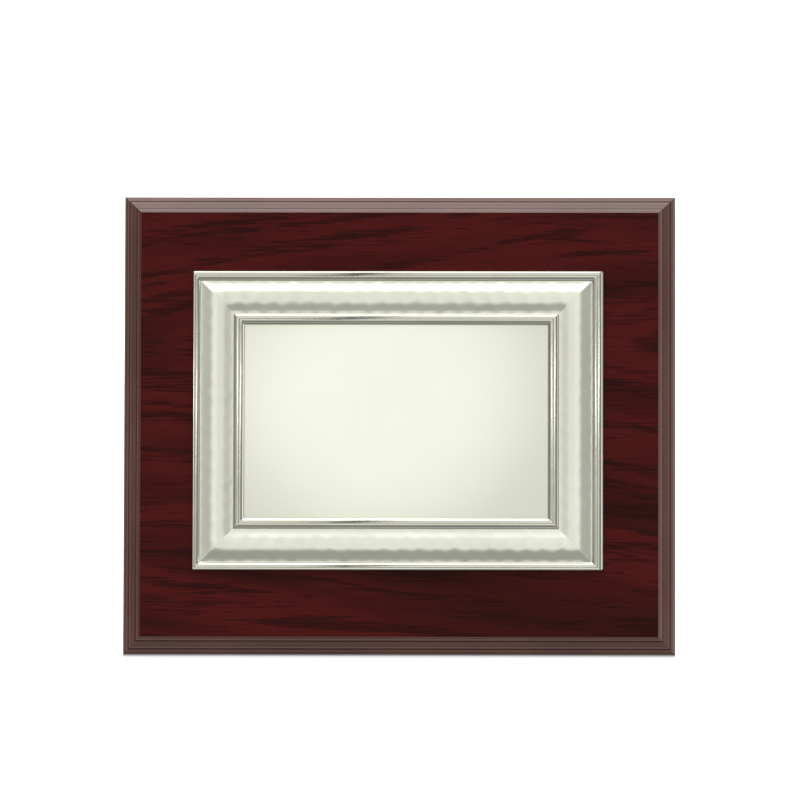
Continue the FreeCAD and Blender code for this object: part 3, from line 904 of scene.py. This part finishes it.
    def ring(self, offset: float) -> np.ndarray:
        """Place the points of one ring, which the trims keep uneven near the outline.

        Args:
            offset: How far the ring is set in from the outline.

        Returns:
            Rows of x and z.
        """
        blend = min(offset / self.even_offset, 1.0)
        left, right, low, high = (
            trim + (self.even_offset - trim) * blend if offset < self.even_offset else offset
            for trim in self.trims
        )
        (x, z), (half_x, half_z) = self.centre, self.half_size
        corners = [
            (x - half_x + left, z - half_z + low),
            (x + half_x - right, z - half_z + low),
            (x + half_x - right, z + half_z - high),
            (x - half_x + left, z + half_z - high),
        ]
        points = []
        for number, start in enumerate(corners):
            end = corners[(number + 1) % len(corners)]
            run = 2 * (half_x if number % 2 == 0 else half_z)
            shares = np.linspace(0, 1, round(run / self.step_along), endpoint=False)
            points.append(np.outer(1 - shares, start) + np.outer(shares, end))
        return np.concatenate(points)

    def depth_in(self, spots: np.ndarray) -> np.ndarray:
        """Offset of each spot from the outline of the embossing."""
        from_centre = np.abs(spots - np.array(self.centre))
        return (np.array(self.half_size) - from_centre).min(1)

    def surface(self) -> tuple[list[np.ndarray], list[float]]:
        """Lay out the whole sheet, from the skirt's foot to the window's lip.

        Returns:
            Its rings as rows of x, z and height, and the offset of each ring.
        """
        rings, offsets = [], []
        outline = self.ring(0.0)
        top = self.profile(self.depth_in(outline))
        middle = np.array(self.centre)
        inward = np.sign(middle - outline)
        reach = np.abs(outline - middle)
        limits = reach.max(0)
        on_side = reach > limits - 1e-6
        step_in = inward * on_side
        folds = [(0.5, self.skirt_foot - top), (0.0, self.skirt_foot - top)]
        for angle in (0, 30, 60, 90):
            turn = math.radians(angle)
            inset = self.fold_radius * (1 - math.cos(turn))
            folds.append((inset, np.full(len(top), self.fold_radius * (math.sin(turn) - 1))))
        for inset, drop in folds:
            flat = outline + step_in * inset
            rings.append(np.column_stack([flat, top + drop]))
            offsets.append(-1.0)
        for offset in self.offsets()[1:]:
            flat = self.ring(offset)
            true_offset = self.depth_in(flat)
            height = self.profile(true_offset) + self.hammering(flat, true_offset)
            rings.append(np.column_stack([flat, height]))
            offsets.append(offset)
        flat = self.ring(self.border)
        for drop in (self.lip_drop, self.lip - self.panel_top):
            rings.append(np.column_stack([flat, np.full(len(flat), self.lip - drop)]))
            offsets.append(self.border)
        return rings, offsets

    def build(self) -> Object:
        """Make the sheet and dress its beads and its ridge.

        Returns:
            The sheet's object.
        """
        rings, offsets = self.surface()
        count = len(rings[0])
        stacked = np.concatenate(rings)
        points = np.column_stack([stacked[:, 0], self.face_y - stacked[:, 2], stacked[:, 1]])
        quads = between_rings(0, count, len(rings))
        placed = BOARD_LEAN.to_frame(points)
        thing = make_mesh("pressed_frame", placed, quads, Body.BOARD, "plate_frame")
        bead = SheetMetal("Polished_silver_bead", "c6c6b8", "bcbcae", 0.10, 0.04, (0.8, 0.8, 0.8), 0.004)
        ridge = SheetMetal(
            "Hammered_silver_ridge", "e0e1d2", "dbdccc", 0.36, 0.02, (3.0, 3.0, 3.0), 0.010
        )
        thing.data.materials.append(bead.build())
        thing.data.materials.append(ridge.build())
        start, end = self.ridge
        levels = [int(start <= offset < end) for offset in offsets[:-1] for _ in range(count)]
        thing.data.polygons.foreach_set("material_index", levels)
        LOG.info("pressed frame: %d faces", len(thing.data.polygons))
        return thing


@dataclass
class Plate:
    """Everything in front of the veneer: frame, engraving panel, card, filler and tape."""

    frame: PressedFrame = field(default_factory=PressedFrame)

    def build(self) -> None:
        """Build the frame and dress what lies behind it."""
        self.frame.build()
        name, silver, cloud, falloff_shade = "Satin_silver_panel", "f6f7e8", "f4f5e5", "d9dacb"
        panel = SheetMetal(name, silver, cloud, 0.40, 0.01, (5.0,) * 3, 0.008, falloff_shade=falloff_shade, dome_rise=5.0)
        dress("engraving_plate", panel.build())
        card = PlainFill("Grey_backing_card", "9a9182", "857c6e", 0.6)
        dress("backing_card", card.build())
        filler = PlainFill("Moulded_ridge_filler", "dedbd0", "cfcbbd", 0.9)
        dress("ridge_filler", filler.build())
        foam = PlainFill("Foam_mounting_tape", "eceae4", "dcdad2", 0.5)
        dress("mounting_tape", foam.build())
        LOG.info("plate: panel, card, filler and tape")


@dataclass
class CrossScrews:
    """Countersunk screws whose visible heads have a pressed cross recess."""

    name: str
    node: str
    spots: tuple[Pair, ...]
    head_y: float
    outward: int
    lean: Lean
    body: Body
    slot: Slot
    head_radius: float = 2.2
    shank_radius: float = 1.25
    length: float = 10.0
    recess_arm: float = 1.25
    recess_half_width: float = 0.26
    recess_depth: float = 0.75
    recess_wall: float = 0.1
    arm_taper: float = 0.35
    core_radius: float = 0.55
    core_wall: float = 0.25
    head_edge: float = 0.08
    tip_length: float = 1.6
    point: float = 0.02
    rings: int = 26
    sectors: int = 96

    def recess(self, x: np.ndarray, z: np.ndarray) -> np.ndarray:
        """Find the depth of the cross recess.

        Args:
            x: Sideways distance of each spot from the head's centre.
            z: Upward distance.

        Returns:
            Depth under each spot.
        """
        radius = np.hypot(x, z)
        narrow = np.minimum(np.abs(x), np.abs(z))
        side = np.clip((self.recess_half_width - narrow) / self.recess_wall + 0.5, 0, 1)
        length = np.clip((self.recess_arm - radius) / self.arm_taper, 0, 1)
        core = np.clip((self.core_radius - radius) / self.core_wall, 0, 1)
        return self.recess_depth * np.maximum(side * length, core)

    def one(self, spot: Pair) -> np.ndarray:
        """Place the points of one screw, ring by ring from its head's middle to its tip.

        Args:
            spot: The screw's x and z.

        Returns:
            Rows of x, y and z.
        """
        angles = np.linspace(0, 2 * math.pi, self.sectors, endpoint=False)
        rows = []
        for share in np.linspace(self.point, 1, self.rings):
            x = self.head_radius * share * np.cos(angles)
            z = self.head_radius * share * np.sin(angles)
            edge = self.head_edge if share == 1 else 0.0
            deep = -self.outward * (self.recess(x, z) + edge)
            rows.append(np.column_stack([x, deep, z]))
        flare = self.head_radius - self.shank_radius
        for radius, depth in (
            (self.shank_radius, flare),
            (self.shank_radius, self.length - self.tip_length),
            (self.point, self.length - self.point),
        ):
            deep = np.full(self.sectors, -self.outward * depth)
            rows.append(np.column_stack([radius * np.cos(angles), deep, radius * np.sin(angles)]))
        return np.concatenate(rows) + np.array([spot[0], self.head_y, spot[1]])

    def build(self, material: Material) -> Object:
        """Make the screws as one piece and dress them.

        Args:
            material: Their finish.

        Returns:
            The piece's object.
        """
        levels = self.rings + 3
        points = np.concatenate([self.one(spot) for spot in self.spots])
        around = np.arange(self.sectors)
        faces = []
        for number in range(len(self.spots)):
            first = number * levels * self.sectors
            faces.append((first + around)[::-1].tolist())
            faces.append((first + (levels - 1) * self.sectors + around).tolist())
            faces.extend(between_rings(first, self.sectors, levels).tolist())
        thing = make_mesh(self.name, self.lean.to_frame(points), faces, self.body, self.node)
        thing.data.materials.append(material)
        thing.data.set_sharp_from_angle(angle=math.radians(40))
        return thing


@dataclass
class RearFittings:
    """Keyhole hanger, hinge and folding strut on the back."""

    strut_wood: StainedBeech = field(default_factory=StainedBeech)
    hinge_height: float = 118.0
    hinge_screw: Pair = (9.0, -8.5)

    def build(self) -> None:
        """Dress the fittings and make their screws."""
        zinc = SheetMetal(
            "Zinc_plated_steel", "b9bcc0", "a2a6aa", 0.26, 0.12, (0.6, 2.0, 4.0), 0.01
        ).build()
        brass = SheetMetal(
            "Brass_plated_hinge", "d3b26a", "c09a54", 0.22, 0.14, (4.0, 2.0, 0.6), 0.01
        ).build()
        ease_edges(dress("keyhole_hanger", zinc), 0.15)
        for node in ("hinge_leaf_board", "hinge_leaf_strut", "hinge_pin"):
            ease_edges(dress(node, brass), 0.1)
        leg = dress("strut_leg", self.strut_wood.build())
        ease_edges(leg, 0.6, 3)
        side, drop = self.hinge_screw
        low = self.hinge_height + drop
        hanger = ((0.0, 153.0), (0.0, 187.0))
        board = ((-side, low), (side, low))
        strut = ((-side, drop), (side, drop))
        on_board, on_strut = (1.0, 1, BOARD_LEAN, Body.BOARD), (1.1, -1, STRUT_LEAN, Body.STRUT)
        CrossScrews(
            "hanger_screw_heads", "hanger_screws", hanger, *on_board, Slot.ZINC_STEEL, length=11.0
        ).build(zinc)
        CrossScrews(
            "board_hinge_screw_heads", "board_hinge_screws", board, *on_board, Slot.BRASS
        ).build(brass)
        CrossScrews(
            "strut_hinge_screw_heads", "strut_hinge_screws", strut, *on_strut, Slot.BRASS, length=4.6
        ).build(brass)
        LOG.info("rear fittings: hanger, hinge, strut and six screws")


@dataclass(frozen=True)
class Card:
    """Flat card seen only in reflections; it lights or darkens them and casts no shadow."""

    name: str
    centre: tuple[float, float, float]
    size: Pair
    glow: float

    def build(self, aim: Vector) -> Object:
        """Make the card.

        Args:
            aim: Point that it faces.

        Returns:
            The card's object.
        """
        card = lay_sheet(self.name, *self.size)
        card.location = self.centre
        towards = aim - card.location
        card.rotation_euler = towards.to_track_quat("Z", "Y").to_euler()
        material = start_material(f"{self.name}_face")
        tree = material.node_tree
        glow = add_node(tree, "ShaderNodeEmission", {"Color": (1, 1, 1, 1), "Strength": self.glow})
        add_node(tree, "ShaderNodeOutputMaterial", {"Surface": glow.outputs[0]})
        card.data.materials.append(material)
        card.visible_camera = False
        card.visible_diffuse = False
        card.visible_shadow = False
        card.visible_transmission = False
        return card


@dataclass
class Studio:
    """Pale floor, a tent of light that is white to the camera, and the camera.

    The tent's light depends on direction alone. Each reach or level is a part of the unit
    vector from the plaque: to the right, to the back or up.
    """

    distance: float = 4.3
    frame_width: float = 0.3479
    azimuth_deg: float = 0.85
    elevation_deg: float = 4.8
    aim: tuple[float, float, float] = (0.0002, -0.0185, 0.1110)
    floor_size: float = 24.0
    floor_glow: float = 0.75
    front: float = 1.86
    side: float = 0.66
    left_side: float = 1.35
    left_end: float = 0.35
    above: float = 0.7
    right_side: float = 0.75
    right_end: float = 2.0
    rear: float = 0.45
    top: float = 3.8
    top_behind: float = 0.15
    ground: float = 0.12
    near_ground: float = 0.9
    table_edge: float = 0.35
    belt: float = 0.72
    opening: float = 0.02
    opening_deg: Pair = (2.8, 5.2)
    mirror_elevation_deg: float = 15.2
    wall_reach: Pair = (0.1, 0.95)
    right_reach: Pair = (0.2, 0.6)
    right_end_reach: Pair = (0.88, 0.98)
    left_reach: Pair = (-0.8, -0.6)
    left_end_reach: Pair = (-0.96, -0.85)
    ground_reach: Pair = (-0.75, 0.15)
    above_reach: Pair = (0.35, 0.75)
    belt_level: float = 0.26
    belt_reach: Pair = (0.06, 0.2)
    top_reach: Pair = (0.87, 0.97)
    top_back_reach: Pair = (-0.05, 0.25)
    near_level: float = -0.81
    near_reach: Pair = (0.02, 0.11)
    rear_reach: Pair = (0.0, 0.35)
    table_level: float = -0.31
    table_reach: Pair = (0.03, 0.11)
    slit_place: tuple[float, float, float] = (-0.028, -0.37, 0.35)
    slit_size: Pair = (0.020, 0.52)
    slit_glow: float = 0.02
    strip_azimuth_deg: float = 27.0
    strip_elevation_deg: float = 14.6
    strip_distance: float = 0.8
    strip_size: Pair = (0.34, 0.022)
    strip_glow: float = 4.5

    def build(self) -> None:
        """Set up the floor, light and camera."""
        self.floor()
        self.tent()
        self.cards()
        self.camera()
        scene = bpy.context.scene
        scene.view_settings.view_transform = "Standard"
        scene.view_settings.look = "None"
        LOG.info("studio: floor, tent and camera")

    def direction(self, azimuth_deg: float, elevation_deg: float) -> Vector:
        """Point from the plaque towards a place in front of it.

        Args:
            azimuth_deg: Turn to the right of straight ahead.
            elevation_deg: Rise above the level.

        Returns:
            A unit vector.
        """
        azimuth, elevation = math.radians(azimuth_deg), math.radians(elevation_deg)
        flat = math.cos(elevation)
        return Vector((math.sin(azimuth) * flat, -math.cos(azimuth) * flat, math.sin(elevation)))

    def floor(self) -> None:
        """Lay a wide matt pale floor that glows a little and that reflections do not see."""
        floor = lay_sheet("studio_floor", self.floor_size, self.floor_size)
        material = start_material("Matt_white_floor")
        place = add_node(material.node_tree, "ShaderNodeTexCoord").outputs["Object"]
        paper = noise(material.node_tree, place, (40.0, 40.0, 40.0), 2.0)
        surface = {
            "Base Color": linear("f7f7f6"),
            "Roughness": 0.9,
            "Specular IOR Level": 0.1,
            "Normal": raised(material.node_tree, paper, 0.05),
            "Emission Color": (1, 1, 1, 1),
            "Emission Strength": self.floor_glow,
        }
        close_material(material, surface)
        floor.data.materials.append(material)
        floor.visible_diffuse = False
        floor.visible_glossy = False

    def tent(self) -> None:
        """Light the plaque from all round, strongest from above, with a dark opening in front."""
        world = bpy.data.worlds.new("light_tent")
        bpy.context.scene.world = world
        world.use_nodes = True
        tree = world.node_tree
        tree.nodes.clear()
        towards = add_node(tree, "ShaderNodeTexCoord").outputs["Generated"]
        right, back, up = add_node(tree, "ShaderNodeSeparateXYZ", {0: towards}).outputs
        sideways = computed(tree, "ABSOLUTE", right)
        wall = ranged(tree, sideways, *self.wall_reach, (self.front, self.side))
        dimmed = ranged(tree, right, *self.right_reach, (1.0, self.right_side))
        far_right = ranged(tree, right, *self.right_end_reach, (0.0, self.right_end))
        lifted = ranged(tree, right, *self.left_reach, (self.left_side, 1.0))
        ended = ranged(tree, right, *self.left_end_reach, (self.left_end, 1.0))
        sides = computed(tree, "MULTIPLY", dimmed, computed(tree, "MULTIPLY", lifted, ended))
        walls = computed(tree, "MULTIPLY_ADD", wall, sides, far_right)
        rise = ranged(tree, up, *self.ground_reach, (self.ground, 1.0))
        sunk = ranged(tree, up, *self.above_reach, (1.0, self.above))
        level = computed(tree, "ABSOLUTE", computed(tree, "SUBTRACT", up, self.belt_level))
        belt = ranged(tree, level, *self.belt_reach, (self.belt, 1.0))
        shading = computed(tree, "MULTIPLY", rise, computed(tree, "MULTIPLY", sunk, belt))
        shaded_walls = computed(tree, "MULTIPLY", walls, shading)
        canopy = ranged(tree, up, *self.top_reach, (0.0, self.top))
        ahead = ranged(tree, back, *self.top_back_reach, (1.0, self.top_behind))
        roof = computed(tree, "MULTIPLY", canopy, ahead)
        below = computed(tree, "ABSOLUTE", computed(tree, "SUBTRACT", up, self.near_level))
        near = ranged(tree, below, *self.near_reach, (self.near_ground, 0.0))
        behind = ranged(tree, back, *self.rear_reach, (0.0, self.rear))
        brim = computed(tree, "ABSOLUTE", computed(tree, "SUBTRACT", up, self.table_level))
        edge = ranged(tree, brim, *self.table_reach, (self.table_edge, 1.0))
        around = computed(tree, "MULTIPLY", computed(tree, "ADD", shaded_walls, behind), edge)
        lit = computed(tree, "ADD", computed(tree, "ADD", around, roof), near)
        middle = tuple(self.direction(-self.azimuth_deg, self.mirror_elevation_deg))
        nearness = add_node(
            tree, "ShaderNodeVectorMath", {0: towards, 1: middle}, operation="DOT_PRODUCT"
        ).outputs["Value"]
        inner, outer = (math.cos(math.radians(angle)) for angle in self.opening_deg)
        clear = ranged(tree, nearness, outer, inner, (1.0, 0.0))
        shaded = computed(tree, "MULTIPLY_ADD", lit, clear, self.opening)
        seen = add_node(tree, "ShaderNodeLightPath").outputs["Is Camera Ray"]
        strength = add_node(tree, "ShaderNodeMix", {0: seen, 2: shaded, 3: 1.0}).outputs[0]
        glow = add_node(tree, "ShaderNodeBackground", {"Strength": strength})
        add_node(tree, "ShaderNodeOutputWorld", {"Surface": glow.outputs[0]})

    def cards(self) -> None:
        """Hang the cards that shape the reflections in the beads."""
        aim = Vector(self.aim)
        Card("slit_card", self.slit_place, self.slit_size, self.slit_glow).build(aim)
        for name, hand in (("left_strip", -1), ("right_strip", 1)):
            towards = self.direction(hand * self.strip_azimuth_deg, self.strip_elevation_deg)
            spot = towards * self.strip_distance + aim
            Card(name, tuple(spot), self.strip_size, self.strip_glow).build(aim)

    def camera(self) -> None:
        """Stand a long lens in front, slightly above and to the right."""
        data = bpy.data.cameras.new("studio_camera")
        data.sensor_width = 36.0
        data.lens = data.sensor_width * self.distance / self.frame_width
        data.clip_start, data.clip_end = 0.1, 60.0
        camera = bpy.data.objects.new("studio_camera", data)
        bpy.context.scene.collection.objects.link(camera)
        away = self.direction(self.azimuth_deg, self.elevation_deg)
        camera.location = Vector(self.aim) + away * self.distance
        camera.rotation_euler = (-away).to_track_quat("-Z", "Y").to_euler()
        bpy.context.scene.camera = camera


def main() -> None:
    """Load the frame and build each sub-assembly in order."""
    logging.basicConfig(level=logging.INFO, format="%(name)s: %(message)s")
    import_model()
    Board().build()
    Plate().build()
    RearFittings().build()
    Studio().build()


if __name__ == "__main__":
    main()
